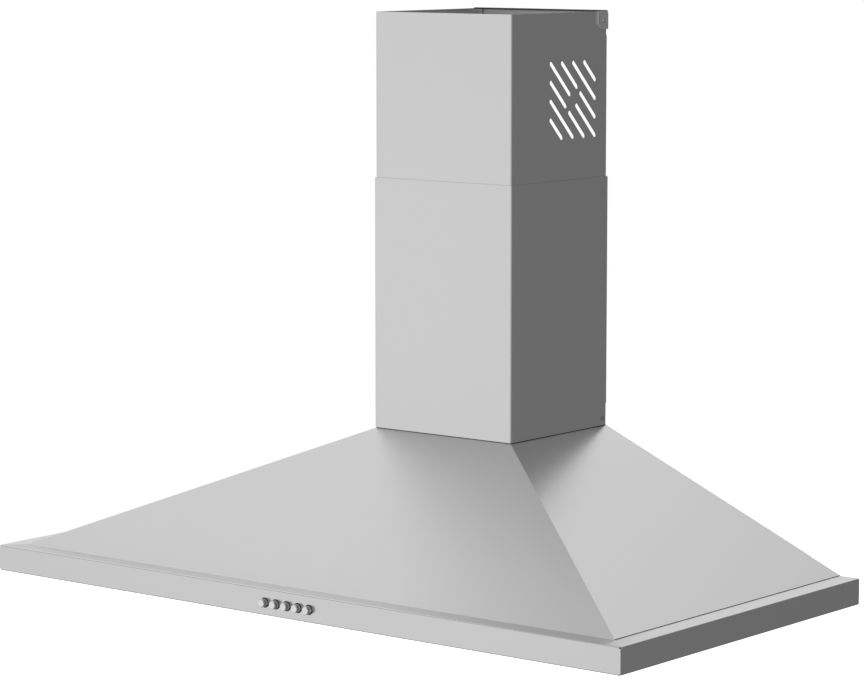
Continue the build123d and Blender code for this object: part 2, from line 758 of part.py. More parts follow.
for side in (-1, 1):
    spot = (side * LAMP_X, lamp_y)
    with BuildPart() as lamp_bezel:
        with BuildSketch(Plane(origin=(*spot, 0), x_dir=(1, 0, 0), z_dir=(0, -1, 0))):
            with BuildLine():
                Polyline(
                    (lens_r - LENS_SEAT, 0),
                    (LAMP_R - BEZEL_BEVEL, 0),
                    (LAMP_R, panel_z),
                    (sleeve_r, panel_z),
                    (sleeve_r, sleeve_top),
                    (lens_r, sleeve_top),
                    (lens_r, panel_z),
                    (lens_r - LENS_SEAT, panel_z),
                    close=True,
                )
            make_face()
        revolve(axis=Axis((*spot, 0), (0, 0, 1)))
    keep_piece(lamp_bezel, f"lamp_bezel_{side_name(side)}")

    with BuildPart() as lamp_lens:
        with BuildSketch(Plane.XY.offset(panel_z)):
            with Locations(spot):
                Circle(lens_r)
        extrude(amount=LENS_T)
    keep_piece(lamp_lens, f"lamp_lens_{side_name(side)}")

    with BuildPart() as lamp_body:
        with BuildSketch(Plane.XY.offset(lens_top)):
            with Locations(spot):
                Circle(lens_r)
        extrude(amount=LAMP_BASE_H)
        with BuildSketch(Plane.XY.offset(lens_top + LAMP_BASE_H)):
            with Locations(spot):
                Circle(lens_r - LAMP_CORE_IN)
                with PolarLocations(0, LAMP_FINS):
                    Rectangle(lens_r - LAMP_FIN_IN, LAMP_FIN_T, align=(Align.MIN, Align.CENTER))
        extrude(amount=LAMP_H - LAMP_BASE_H)
    keep_piece(lamp_body, f"lamp_body_{side_name(side)}")


# Blower scroll: spiral wrap of quarter arcs with a flanged outlet, and two side plates with inlets.

radius_1 = IMPELLER_R + TONGUE_GAP + VOLUTE_STEP / 2
radius_2 = radius_1 + VOLUTE_STEP
radius_3 = radius_2 + VOLUTE_STEP
axis_y = -(BLOWER_BACK + SCROLL_T + radius_3 + VOLUTE_STEP / 2)
axis_z = chimney_base - BLOWER_DROP
scroll_rear = -(BLOWER_BACK + SCROLL_T)
scroll_top = axis_z + BLOWER_RISE
spigot_y = scroll_rear - THROAT_MARGIN - scroll_half
throat_front = spigot_y - scroll_half - THROAT_MARGIN
inlet_r = IMPELLER_R - BLADE_DEPTH + INLET_OVER
flange_half = SPIGOT_R + SPIGOT_FLANGE
throat_half = scroll_half + THROAT_MARGIN + SCROLL_T
flange_mid = (flange_half + throat_half) / 2
spigot_plane = Plane(origin=(0, spigot_y, 0))
flange_screw_x = scroll_half - SPIGOT_SCREW_IN
flange_screws = [(x, y) for x in (-flange_screw_x, flange_screw_x) for y in (-flange_mid, flange_mid)]


def scroll_outline(grow):
    """Draw the scroll's outline in the current sketch on the YZ plane, grown outwards."""
    shift = VOLUTE_STEP / 2
    lean = math.degrees(math.asin((axis_y - shift - throat_front + grow) / (radius_1 + grow)))
    with BuildLine() as outline:
        top_arc = CenterArc((axis_y - shift, axis_z - shift), radius_1 + grow, 90 + lean, 90 - lean)
        CenterArc((axis_y + shift, axis_z - shift), radius_2 + grow, 180, 90)
        rear_arc = CenterArc((axis_y + shift, axis_z + shift), radius_3 + grow, 270, 90)
        Polyline(
            rear_arc @ 1,
            (scroll_rear + grow, scroll_top),
            (throat_front - grow, scroll_top),
            top_arc @ 0,
        )
    make_face(outline.edges())


with BuildPart() as scroll_wrap:
    with BuildSketch(Plane.YZ.offset(-scroll_half)):
        scroll_outline(SCROLL_T)
    extrude(amount=2 * scroll_half)
    with BuildSketch(spigot_plane.offset(scroll_top - SCROLL_T)):
        Rectangle(2 * scroll_half, 2 * flange_half)
        with Locations(flange_screws):
            Circle(SCREW_HOLE_R, mode=Mode.SUBTRACT)
    extrude(amount=SCROLL_T)
    with BuildSketch(Plane.YZ.offset(-scroll_half)):
        scroll_outline(0)
    extrude(amount=2 * scroll_half, mode=Mode.SUBTRACT)
keep_piece(scroll_wrap, "scroll_wrap")

hanger_top = scroll_top - HANGER_BELOW_TOP
hanger_screw_z = (axis_z + inlet_r + hanger_top) / 2
motor_arm_angles = [-90, 30, 150]
motor_screw_r = inlet_r + ARM_END
arm_screw_spots = [
    (motor_screw_r * math.cos(math.radians(a)), motor_screw_r * math.sin(math.radians(a)))
    for a in motor_arm_angles
]
axis_plane = Plane(origin=(0, axis_y, axis_z), x_dir=(0, 1, 0), z_dir=(1, 0, 0))

for side in (-1, 1):
    with BuildPart() as scroll_side:
        with BuildSketch(Plane.YZ.offset(side * (scroll_half + SCROLL_T / 2))):
            scroll_outline(SCROLL_T)
            with Locations((axis_y, axis_z)):
                Circle(inlet_r, mode=Mode.SUBTRACT)
            with Locations((axis_y, hanger_screw_z)):
                Circle(SCREW_HOLE_R, mode=Mode.SUBTRACT)
            if side > 0:
                with Locations([(axis_y + y, axis_z + z) for y, z in arm_screw_spots]):
                    Circle(SCREW_HOLE_R, mode=Mode.SUBTRACT)
        extrude(amount=SCROLL_T / 2, both=True)
        with BuildSketch(axis_plane.offset(side * scroll_half)):
            Circle(inlet_r + SCROLL_T)
            Circle(inlet_r, mode=Mode.SUBTRACT)
        extrude(amount=-side * INLET_LIP)
    keep_piece(scroll_side, f"scroll_side_{side_name(side)}")

    with BuildPart() as blower_hanger:
        foot_out = scroll_out + HANGER_REACH
        leg_out = scroll_out + HANGER_T
        foot_top = chimney_base + HANGER_T
        with BuildSketch(Plane.XZ.offset(-axis_y - HANGER_W / 2)):
            with BuildLine():
                Polyline(
                    (side * scroll_out, chimney_base),
                    (side * foot_out, chimney_base),
                    (side * foot_out, foot_top),
                    (side * leg_out, foot_top),
                    (side * leg_out, hanger_top),
                    (side * scroll_out, hanger_top),
                    close=True,
                )
            make_face()
        extrude(amount=HANGER_W)
        with BuildSketch(Plane.YZ.offset(side * scroll_out)):
            with Locations((axis_y, hanger_screw_z)):
                Circle(SCREW_HOLE_R)
        extrude(amount=side * HANGER_T, mode=Mode.SUBTRACT)
    keep_piece(blower_hanger, f"blower_hanger_{side_name(side)}")

with BuildPart() as hanger_screws:
    side_screws(scroll_out + HANGER_T, (axis_y, hanger_screw_z), HANGER_T + SCROLL_T)
keep_piece(hanger_screws, "hanger_screws")


# Impeller: forward-bent blades between two rings, on a middle disc with a hub.

impeller_half = scroll_half - IMPELLER_SIDE_GAP
blade_root = IMPELLER_R - BLADE_DEPTH
blade_run = math.sqrt((IMPELLER_R - BLADE_TIP_IN) ** 2 - (BLADE_SWEEP + BLADE_T) ** 2) - blade_root
nut_left = -HUB_LEFT - NUT_T
shaft_left = nut_left - SHAFT_PAST_NUT
motor_left = HUB_RIGHT + MOTOR_FROM_HUB
motor_right = scroll_out

with BuildSketch() as blade:
    with BuildLine():
        Polyline(
            (0, 0),
            (blade_run / 2, BLADE_SWEEP / 2 - BLADE_BOW),
            (blade_run, BLADE_SWEEP),
            (blade_run, BLADE_SWEEP + BLADE_T),
            (blade_run / 2, BLADE_SWEEP / 2 - BLADE_BOW + BLADE_T),
            (0, BLADE_T),
            close=True,
        )
    make_face()

with BuildPart() as impeller:
    with BuildSketch(axis_plane.offset(-impeller_half)):
        with PolarLocations(blade_root, BLADE_COUNT):
            add(blade.sketch)
    extrude(amount=2 * impeller_half)
    for start in (-impeller_half, impeller_half - RING_W):
        with BuildSketch(axis_plane.offset(start)):
            Circle(IMPELLER_R)
            Circle(blade_root - RING_OVER, mode=Mode.SUBTRACT)
        extrude(amount=RING_W)
    with BuildSketch(axis_plane.offset(-RING_W / 2)):
        Circle(IMPELLER_R)
    extrude(amount=RING_W)
    with BuildSketch(axis_plane.offset(-HUB_LEFT)):
        Circle(HUB_R)
    extrude(amount=HUB_LEFT + HUB_RIGHT)
    with BuildSketch(axis_plane.offset(-HUB_LEFT)):
        Circle(SHAFT_R)
    extrude(amount=HUB_LEFT + HUB_RIGHT, mode=Mode.SUBTRACT)
keep_piece(impeller, "impeller")

with BuildPart() as motor_shaft:
    with BuildSketch(axis_plane.offset(shaft_left)):
        Circle(SHAFT_R)
    extrude(amount=motor_right - SHAFT_END_IN - shaft_left)
keep_piece(motor_shaft, "motor_shaft")

with BuildPart() as impeller_nut:
    with BuildSketch(axis_plane.offset(nut_left)):
        RegularPolygon(NUT_R, 6)
        Circle(SHAFT_R, mode=Mode.SUBTRACT)
    extrude(amount=NUT_T)
keep_piece(impeller_nut, "impeller_nut")


# Motor inside the right-hand inlet: bevelled end bells round a wider core, bushes and a bracket.

bell_r = MOTOR_R - BELL_IN
bell_face_r = bell_r - BELL_BEVEL
core_left = motor_left + BELL_LEFT
core_right = motor_right - BELL_RIGHT
bore_r = SHAFT_R + SHAFT_ROOM

with BuildPart() as motor:
    with BuildSketch(Plane(origin=(0, axis_y, axis_z), x_dir=(1, 0, 0), z_dir=(0, -1, 0))):
        with BuildLine():
            Polyline(
                (motor_left, BUSH_R),
                (motor_left, bell_face_r),
                (motor_left + BELL_BEVEL, bell_r),
                (core_left, bell_r),
                (core_left, MOTOR_R),
                (core_right, MOTOR_R),
                (core_right, bell_r),
                (motor_right - BELL_BEVEL, bell_r),
                (motor_right, bell_face_r),
                (motor_right, BUSH_R),
                (motor_right - BUSH_L, BUSH_R),
                (motor_right - BUSH_L, bore_r),
                (motor_left + BUSH_L, bore_r),
                (motor_left + BUSH_L, BUSH_R),
                close=True,
            )
        make_face()
    revolve(axis=Axis((0, axis_y, axis_z), (1, 0, 0)))
    with BuildSketch(axis_plane.offset(motor_left)):
        with PolarLocations((BUSH_R + bell_face_r) / 2, MOTOR_VENTS):
            Rectangle(MOTOR_VENT_L, MOTOR_VENT_W)
    extrude(amount=MOTOR_VENT_DEEP, mode=Mode.SUBTRACT)
keep_piece(motor, "motor")

with BuildPart() as motor_bushes:
    for start in (motor_left, motor_right - BUSH_L):
        with BuildSketch(axis_plane.offset(start)):
            Circle(BUSH_R)
            Circle(SHAFT_R + RUN_FIT, mode=Mode.SUBTRACT)
        extrude(amount=BUSH_L)
keep_piece(motor_bushes, "motor_bushes")

with BuildPart() as motor_bracket:
    with BuildSketch(axis_plane.offset(motor_right)):
        Circle(MOTOR_R - ARM_PLATE_IN)
        for angle in motor_arm_angles:
            with Locations(Location((0, 0), angle)):
                Rectangle(motor_screw_r + ARM_END, ARM_W, align=(Align.MIN, Align.CENTER))
        Circle(BUSH_R - ARM_EYE_IN, mode=Mode.SUBTRACT)
        with Locations(arm_screw_spots):
            Circle(SCREW_HOLE_R, mode=Mode.SUBTRACT)
    extrude(amount=ARM_T)
keep_piece(motor_bracket, "motor_bracket")

with BuildPart() as motor_screws:
    with BuildSketch(axis_plane.offset(motor_right + ARM_T)):
        with Locations(arm_screw_spots):
            Circle(SCREW_HEAD_R)
    extrude(amount=SCREW_HEAD_H)
    with BuildSketch(axis_plane.offset(motor_right + ARM_T)):
        with Locations(arm_screw_spots):
            Circle(SCREW_R)
    extrude(amount=-(ARM_T + SCROLL_T + SCREW_PAST))
keep_piece(motor_screws, "motor_screws")


# Outlet spigot on the scroll's flange, with a pin across it and two back-draft flaps on the pin.

collar_base = scroll_top + SPIGOT_FLANGE_T
flap_z = collar_base + FLAP_RISE
flap_r = scroll_half - FLAP_GAP
flap_base = flap_z - FLAP_T / 2
flap_edge = KNUCKLE_R + KNUCKLE_GAP
knuckle_w = scroll_half / 4

with BuildPart() as outlet_spigot:
    with BuildSketch(spigot_plane.offset(scroll_top)):
        Rectangle(2 * flange_half, 2 * flange_half)
        Circle(scroll_half, mode=Mode.SUBTRACT)
        with Locations(flange_screws):
            Circle(SCREW_HOLE_R, mode=Mode.SUBTRACT)
    extrude(amount=SPIGOT_FLANGE_T)
    with BuildSketch(spigot_plane.offset(collar_base)):
        Circle(SPIGOT_R)
        Circle(scroll_half, mode=Mode.SUBTRACT)
    extrude(amount=SPIGOT_H)
    with BuildSketch(spigot_plane.offset(flap_base - SLIDE_GAP - FLAP_T)):
        Circle(SPIGOT_R - SPIGOT_WALL / 2)
        Circle(scroll_half - FLAP_STOP_W, mode=Mode.SUBTRACT)
    extrude(amount=FLAP_T)
    with BuildSketch(Plane.YZ.offset(-SPIGOT_R)):
        with Locations((spigot_y, flap_z)):
            Circle(PIN_R + RUN_FIT)
    extrude(amount=2 * SPIGOT_R, mode=Mode.SUBTRACT)
keep_piece(outlet_spigot, "outlet_spigot")

with BuildPart() as flap_pin:
    with BuildSketch(Plane.YZ.offset(-SPIGOT_R + PIN_END_IN)):
        with Locations((spigot_y, flap_z)):
            Circle(PIN_R)
    extrude(amount=2 * (SPIGOT_R - PIN_END_IN))
keep_piece(flap_pin, "flap_pin")

for way, name in ((-1, "front"), (1, "rear")):
    knuckle_xs = [step * knuckle_w * way for step in KNUCKLE_STEPS]
    other_half = Align.MAX if way > 0 else Align.MIN
    with BuildPart() as flap:
        with BuildSketch(spigot_plane.offset(flap_base)):
            Circle(flap_r)
            Rectangle(2 * flap_r, 2 * flap_r, align=(Align.CENTER, other_half), mode=Mode.SUBTRACT)
            Rectangle(2 * flap_r, 2 * flap_edge, mode=Mode.SUBTRACT)
            with Locations([(x, way * flap_edge / 2) for x in knuckle_xs]):
                Rectangle(knuckle_w, flap_edge + KNUCKLE_JOIN)
        extrude(amount=FLAP_T)
        for x in knuckle_xs:
            with BuildSketch(Plane.YZ.offset(x - knuckle_w / 2)):
                with Locations((spigot_y, flap_z)):
                    Circle(KNUCKLE_R)
            extrude(amount=knuckle_w)
            with BuildSketch(Plane.YZ.offset(x - knuckle_w / 2)):
                with Locations((spigot_y, flap_z)):
                    Circle(PIN_R + RUN_FIT)
            extrude(amount=knuckle_w, mode=Mode.SUBTRACT)
    keep_piece(flap, f"flap_{name}")

with BuildPart() as spigot_screws:
    with BuildSketch(spigot_plane.offset(collar_base)):
        with Locations(flange_screws):
            Circle(SCREW_HEAD_R)
    extrude(amount=SCREW_HEAD_H)
    with BuildSketch(spigot_plane.offset(collar_base)):
        with Locations(flange_screws):
            Circle(SCREW_R)
    extrude(amount=-(SPIGOT_FLANGE_T + SCROLL_T + SCREW_PAST))
keep_piece(spigot_screws, "spigot_screws")


# Electrical pieces on the rear panel: capacitor in its clip, terminal box with lid and block.

back_face = -SHEET
cap_x = frame_hole_x + CAP_FROM_FRAME
cap_y = back_face - CLIP_T - CAP_R
cap_z = LIP_H + CAP_RISE

with BuildPart() as capacitor:
    with BuildSketch(Plane.YZ.offset(cap_x - CAP_L / 2)):
        with Locations((cap_y, cap_z)):
            Circle(CAP_R)
    extrude(amount=CAP_L)
    with BuildSketch(Plane.YZ.offset(cap_x - CAP_L / 2 - BLADE_TAB_L)):
        with Locations([(cap_y, cap_z + s * CAP_TAB_APART / 2) for s in (-1, 1)]):
            Rectangle(BLADE_TAB_T, BLADE_TAB_W)
    extrude(amount=BLADE_TAB_L)
keep_piece(capacitor, "capacitor")

with BuildPart() as capacitor_clip:
    with BuildSketch(Plane.YZ.offset(cap_x - CLIP_W / 2)):
        with Locations((cap_y, cap_z)):
            Circle(CAP_R + CLIP_T)
            Circle(CAP_R, mode=Mode.SUBTRACT)
        with Locations((back_face - CLIP_T / 2, cap_z)):
            Rectangle(CLIP_T, 2 * (CAP_R + CLIP_FOOT))
    extrude(amount=CLIP_W)
keep_piece(capacitor_clip, "capacitor_clip")

box_x = -frame_hole_x - BOX_FROM_FRAME
box_z = LIP_H + BOX_RISE
box_front = back_face - BOX_D
box_in_w = BOX_W - 2 * BOX_T
box_in_h = BOX_H - 2 * BOX_T
rim_w = box_in_w - 2 * SLIDE_GAP
rim_h = box_in_h - 2 * SLIDE_GAP
block_back = back_face - BOX_T

with BuildPart() as terminal_box:
    with BuildSketch(Plane.XZ.offset(-back_face)):
        with Locations((box_x, box_z)):
            Rectangle(BOX_W, BOX_H)
    extrude(amount=BOX_D)
    with BuildSketch(Plane.XZ.offset(-block_back)):
        with Locations((box_x, box_z)):
            Rectangle(box_in_w, box_in_h)
    extrude(amount=BOX_D - BOX_T, mode=Mode.SUBTRACT)
keep_piece(terminal_box, "terminal_box")

with BuildPart() as terminal_lid:
    with BuildSketch(Plane.XZ.offset(-box_front)):
        with Locations((box_x, box_z)):
            Rectangle(BOX_W, BOX_H)
    extrude(amount=BOX_T)
    with BuildSketch(Plane.XZ.offset(-box_front)):
        with Locations((box_x, box_z)):
            Rectangle(rim_w, rim_h)
            Rectangle(rim_w - 2 * LID_RIM_T, rim_h - 2 * LID_RIM_T, mode=Mode.SUBTRACT)
    extrude(amount=-LID_RIM_H)
keep_piece(terminal_lid, "terminal_lid")

with BuildPart() as terminal_block:
    with BuildSketch(Plane.XZ.offset(-block_back)):
        with Locations((box_x, box_z)):
            Rectangle(BLOCK_W, BLOCK_H)
    extrude(amount=BLOCK_D)
    with BuildSketch(Plane.XZ.offset(-block_back + BLOCK_D)):
        with Locations((box_x, box_z)):
            with GridLocations(BLOCK_PITCH, BLOCK_ROW, BLOCK_POLES, 2):
                Rectangle(BLOCK_HOLE, BLOCK_HOLE)
    extrude(amount=-BLOCK_HOLE_DEEP, mode=Mode.SUBTRACT)
keep_piece(terminal_block, "terminal_block")


# Cable gland in the top frame: hexagonal head, threaded neck, nut under the plate.

gland_length = GLAND_HEAD_H + GLAND_BELOW

with BuildPart() as cable_gland:
    with BuildSketch(Plane.XY.offset(chimney_base)):
        with Locations((gland_x, gland_y)):
            RegularPolygon(GLAND_HEAD_R, 6)
    extrude(amount=GLAND_HEAD_H)
    with BuildSketch(Plane.XY.offset(chimney_base)):
        with Locations((gland_x, gland_y)):
            Circle(GLAND_R)
    extrude(amount=-GLAND_BELOW)
    with BuildSketch(Plane.XY.offset(canopy_top)):
        with Locations((gland_x, gland_y)):
            RegularPolygon(GLAND_NUT_R, 6)
    extrude(amount=-GLAND_NUT_H)
    with BuildSketch(Plane.XY.offset(chimney_base + GLAND_HEAD_H)):
        with Locations((gland_x, gland_y)):
            Circle(GLAND_BORE_R)
    extrude(amount=-gland_length, mode=Mode.SUBTRACT)
keep_piece(cable_gland, "cable_gland")
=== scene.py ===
import json
import math

import bmesh
import bpy
from mathutils import Matrix, Vector


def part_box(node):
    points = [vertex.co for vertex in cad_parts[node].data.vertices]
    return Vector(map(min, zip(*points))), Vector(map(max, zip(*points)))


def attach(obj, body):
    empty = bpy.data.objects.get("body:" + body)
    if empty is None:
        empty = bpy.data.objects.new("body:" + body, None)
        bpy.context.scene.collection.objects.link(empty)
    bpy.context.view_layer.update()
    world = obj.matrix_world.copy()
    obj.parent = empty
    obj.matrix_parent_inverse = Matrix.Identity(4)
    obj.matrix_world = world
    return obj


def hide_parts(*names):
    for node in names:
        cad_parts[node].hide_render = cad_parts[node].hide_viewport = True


# Pyramid range hood: finishes, fine detail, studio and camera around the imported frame, in metres.

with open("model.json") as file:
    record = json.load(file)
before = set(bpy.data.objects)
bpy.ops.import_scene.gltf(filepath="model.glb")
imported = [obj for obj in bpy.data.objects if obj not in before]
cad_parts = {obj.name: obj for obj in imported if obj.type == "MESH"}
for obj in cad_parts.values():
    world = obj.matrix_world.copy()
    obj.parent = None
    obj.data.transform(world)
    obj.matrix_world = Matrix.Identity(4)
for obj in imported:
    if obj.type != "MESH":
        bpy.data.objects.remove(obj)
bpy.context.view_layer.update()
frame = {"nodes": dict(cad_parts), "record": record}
nodes = frame["nodes"]
MM = 0.001

# Camera at the photograph's viewing angle
CAMERA_AT = (2.39891, -3.19895, 0.76656)
CAMERA_YAW = 0.6754
CAMERA_PITCH = 0.1251
CAMERA_LENS = 140.45
CAMERA_REACH = 100.0
SENSOR_W = 36.0

# Studio: white all round for the camera, and for the metal a dim room with soft lights, each
# given as direction, sharpness and strength
FLOOR_Z = -0.75
FLOOR_R = 4.0
FLOOR_SIDES = 96
ROOM_LEVEL = 0.02
SOFT_LIGHTS = [
    # A broad one from the left
    ((-1, 0, 0.2), 2.0, 0.2),
    # What the camera sees in front faces, front panel, right panel, flanges and right faces
    ((-0.62, -0.77, -0.12), 8.0, 0.91),
    ((-0.62, 0.3, 0.72), 8.0, 1.28),
    ((-0.338, 0.77, 0.533), 8.0, 0.5),
    ((-0.62, 0.77, 0.12), 8.0, 0.2),
    ((0.62, 0.77, -0.12), 8.0, 0.115),
    # From the right, the top and below
    ((0.97, 0.2, -0.1), 14.0, 0.6),
    ((0.2, 0.3, 0.93), 6.0, 0.3),
    ((0, 0, -1), 3.0, 0.3),
    # Fill for the sides that the photograph doesn't show
    ((0.62, -0.77, -0.12), 6.0, 0.6),
    ((0, -0.75, 0.65), 6.0, 0.4),
    ((0.62, 0.3, 0.72), 8.0, 0.15),
    ((-0.3, 0.75, -0.6), 10.0, 0.5),
    ((-0.3, 0.95, -0.1), 14.0, 0.12),
]

# Surfaces, with grain in waves per metre
FINE_GRAIN = 4000.0
LONG_GRAIN = 25.0
GRAIN_RELIEF = 0.1 * MM
NOISE_DETAIL = 4.0
FACTOR_LOW = 0.3
FACTOR_HIGH = 0.7
SHARP_ANGLE = math.radians(35)

# Push buttons
CAP_DEPTH = 10.3 * MM
CAP_BULGE = 4.0 * MM
CAP_LEAN = math.radians(20)
CAP_EDGE = 0.3 * MM
CAP_STEPS = 6
CAP_SIDES = 40
STEM_W = 5.0 * MM

# Screws, with the head's curve and recess as shares of its radius and height
HEAD_H = 1.6 * MM
HEAD_CURVE = [(1, 0), (1, 0.35), (0.93, 0.62), (0.8, 0.8), (0.62, 0.9)]
HEAD_SIDES = 24
RECESS_W = 0.13
RECESS_ARM = 0.5
RECESS_TAPER = 0.6
RECESS_FLOOR = 0.2
SHANK_R = 1.4 * MM
SHANK_L = 4.6 * MM

# Filter mesh: two layers at shares of its depth, whose cells have four corners
CELL = (20.0 * MM, 12.0 * MM)
CELL_MARGIN = 2
STRAND = 1.5 * MM
LAYER_T = 0.5 * MM
LAYER_TILT = 0.22 * MM
LAYER_AT = (0.25, 0.75)
EAST, NORTH, WEST, SOUTH = range(4)

# Lamp lenses
LENS_RINGS = 11
LENS_RIPPLE = 0.35 * MM
LENS_SIDES = 64

# Black strip that paints shade on top of the wall bracket, and ear folds at the top of the chimney
SHADE_STRIP_R = 1.9 * MM
SHADE_STRIP_INSET = 2.0 * MM
SHADE_STRIP_STEPS = 8
FOLD_RUN = 8.0 * MM
FOLD_GAP = 1.0 * MM
FOLD_H = 15.0 * MM
FOLD_STEPS = 6


# Camera and studio

def place_camera():
    """The camera that sees the object as the photograph does."""
    data = bpy.data.cameras.new("photo_camera")
    data.sensor_fit = "HORIZONTAL"
    data.sensor_width = SENSOR_W
    data.lens = CAMERA_LENS
    data.clip_end = CAMERA_REACH
    camera = bpy.data.objects.new("photo_camera", data)
    camera.location = CAMERA_AT
    camera.rotation_euler = (math.pi / 2 - CAMERA_PITCH, 0, CAMERA_YAW)
    bpy.context.scene.collection.objects.link(camera)
    bpy.context.scene.camera = camera


def add_node(tree, kind, **inputs):
    """A shader node with its unlinked inputs set by name."""
    made = tree.nodes.new(kind)
    for name, value in inputs.items():
        made.inputs[name.replace("_", " ")].default_value = value
    return made


def math_node(tree, operation, first, second=0.0):
    """A maths node on a socket and a number or a second socket; returns its output."""
    made = tree.nodes.new("ShaderNodeMath")
    made.operation = operation
    for socket, value in zip(made.inputs, (first, second)):
        if isinstance(value, (int, float)):
            socket.default_value = value
        else:
            tree.links.new(value, socket)
    return made.outputs["Value"]


def soft_light(tree, way, light):
    """Brightness of one soft light in each direction of the world."""
    direction, sharpness, strength = light
    along = tree.nodes.new("ShaderNodeVectorMath")
    along.operation = "DOT_PRODUCT"
    along.inputs[1].default_value = Vector(direction).normalized()
    tree.links.new(way, along.inputs[0])
    away = math_node(tree, "MULTIPLY_ADD", along.outputs["Value"], sharpness)
    away.node.inputs[2].default_value = -sharpness
    return math_node(tree, "MULTIPLY", math_node(tree, "EXPONENT", away), strength)


def make_world():
    """A dim room with soft lights for reflections, and plain white behind the object."""
    world = bpy.data.worlds.new("studio")
    bpy.context.scene.world = world
    world.use_nodes = True
    tree = world.node_tree
    tree.nodes.clear()
    way = tree.nodes.new("ShaderNodeTexCoord").outputs["Generated"]
    level = ROOM_LEVEL
    for light in SOFT_LIGHTS:
        level = math_node(tree, "ADD", soft_light(tree, way, light), level)
    room = add_node(tree, "ShaderNodeBackground", Color=(1, 1, 1, 1))
    tree.links.new(level, room.inputs["Strength"])
    white = add_node(tree, "ShaderNodeBackground", Color=(1, 1, 1, 1), Strength=1.0)
    path = tree.nodes.new("ShaderNodeLightPath")
    mix = tree.nodes.new("ShaderNodeMixShader")
    tree.links.new(path.outputs["Is Camera Ray"], mix.inputs["Fac"])
    tree.links.new(room.outputs["Background"], mix.inputs[1])
    tree.links.new(white.outputs["Background"], mix.inputs[2])
    out = tree.nodes.new("ShaderNodeOutputWorld")
    tree.links.new(mix.outputs["Shader"], out.inputs["Surface"])


place_camera()
make_world()
bpy.context.scene.view_settings.view_transform = "Standard"


# Materials

def new_material(name):
    """A node material: returns it, its tree and its principled shader."""
    material = bpy.data.materials.new(name)
    material.use_nodes = True
    tree = material.node_tree
    return material, tree, tree.nodes["Principled BSDF"]


def stretched_noise(tree, stretch):
    """Noise in object space, in waves per metre along each axis."""
    coord = tree.nodes.new("ShaderNodeTexCoord")
    mapping = tree.nodes.new("ShaderNodeMapping")
    mapping.inputs["Scale"].default_value = stretch
    tree.links.new(coord.outputs["Object"], mapping.inputs["Vector"])
    noise = add_node(tree, "ShaderNodeTexNoise", Scale=1.0, Detail=NOISE_DETAIL)
    tree.links.new(mapping.outputs["Vector"], noise.inputs["Vector"])
    return noise.outputs["Fac"]


def vary(tree, source, target, low, high):
    """Drive a socket with a factor mapped to the range low to high."""
    mapped = tree.nodes.new("ShaderNodeMapRange")
    mapped.inputs["From Min"].default_value = FACTOR_LOW
    mapped.inputs["From Max"].default_value = FACTOR_HIGH
    mapped.inputs["To Min"].default_value = low
    mapped.inputs["To Max"].default_value = high
    tree.links.new(source, mapped.inputs["Value"])
    tree.links.new(mapped.outputs["Result"], target)


def tint(tree, source, shader, low, high):
    """Drive the base colour between two colours; sockets 6 and 7 and output 2 are the colour ones."""
    mix = tree.nodes.new("ShaderNodeMix")
    mix.data_type = "RGBA"
    mix.inputs[6].default_value = (*low, 1)
    mix.inputs[7].default_value = (*high, 1)
    tree.links.new(source, mix.inputs[0])
    tree.links.new(mix.outputs[2], shader.inputs["Base Color"])


def bump(tree, source, shader, strength):
    """Raise the surface by a factor."""
    made = add_node(tree, "ShaderNodeBump", Strength=strength, Distance=GRAIN_RELIEF)
    tree.links.new(source, made.inputs["Height"])
    tree.links.new(made.outputs["Normal"], shader.inputs["Normal"])


def finish(name, colour, metallic, rough, grain, contrast, spread, relief):
    """A finish whose grain, in waves per metre, varies colour, gloss and relief."""
    material, tree, shader = new_material(name)
    factor = stretched_noise(tree, grain)
    shader.inputs["Metallic"].default_value = metallic
    dark, light = ([min(1, c * level) for c in colour] for level in (1 - contrast, 1 + contrast))
    tint(tree, factor, shader, dark, light)
    vary(tree, factor, shader.inputs["Roughness"], rough - spread, rough + spread)
    bump(tree, factor, shader, relief)
    return material


def brushed_steel(name, along, rough=0.3, tone=0.66):
    """Satin stainless sheet, brushed along one axis (0, 1 or 2)."""
    grain = [FINE_GRAIN] * 3
    grain[along] = LONG_GRAIN
    return finish(name, (tone, tone, tone), 1.0, rough, grain, contrast=0.012, spread=0.02, relief=0.01)


def streaked_steel(name):
    """Stainless sheet brushed more coarsely along X, which blurs reflections up and down the sheet."""
    material = brushed_steel(name, along=0, rough=0.46, tone=0.69)
    tree = material.node_tree
    shader = tree.nodes["Principled BSDF"]
    shader.inputs["Anisotropic"].default_value = 0.88
    up_slope = add_node(tree, "ShaderNodeCombineXYZ", Y=1.0, Z=1.0)
    tree.links.new(up_slope.outputs["Vector"], shader.inputs["Tangent"])
    return material


def galvanised():
    """Zinc-coated sheet with a dull spangle."""
    material, tree, shader = new_material("galvanised")
    coord = tree.nodes.new("ShaderNodeTexCoord")
    cells = add_node(tree, "ShaderNodeTexVoronoi", Scale=110.0)
    tree.links.new(coord.outputs["Object"], cells.inputs["Vector"])
    shade = tree.nodes.new("ShaderNodeSeparateColor")
    tree.links.new(cells.outputs["Color"], shade.inputs["Color"])
    shader.inputs["Metallic"].default_value = 0.9
    tint(tree, shade.outputs["Red"], shader, (0.50, 0.515, 0.53), (0.64, 0.655, 0.665))
    vary(tree, shade.outputs["Green"], shader.inputs["Roughness"], 0.34, 0.5)
    bump(tree, stretched_noise(tree, (700.0, 700.0, 700.0)), shader, 0.05)
    return material


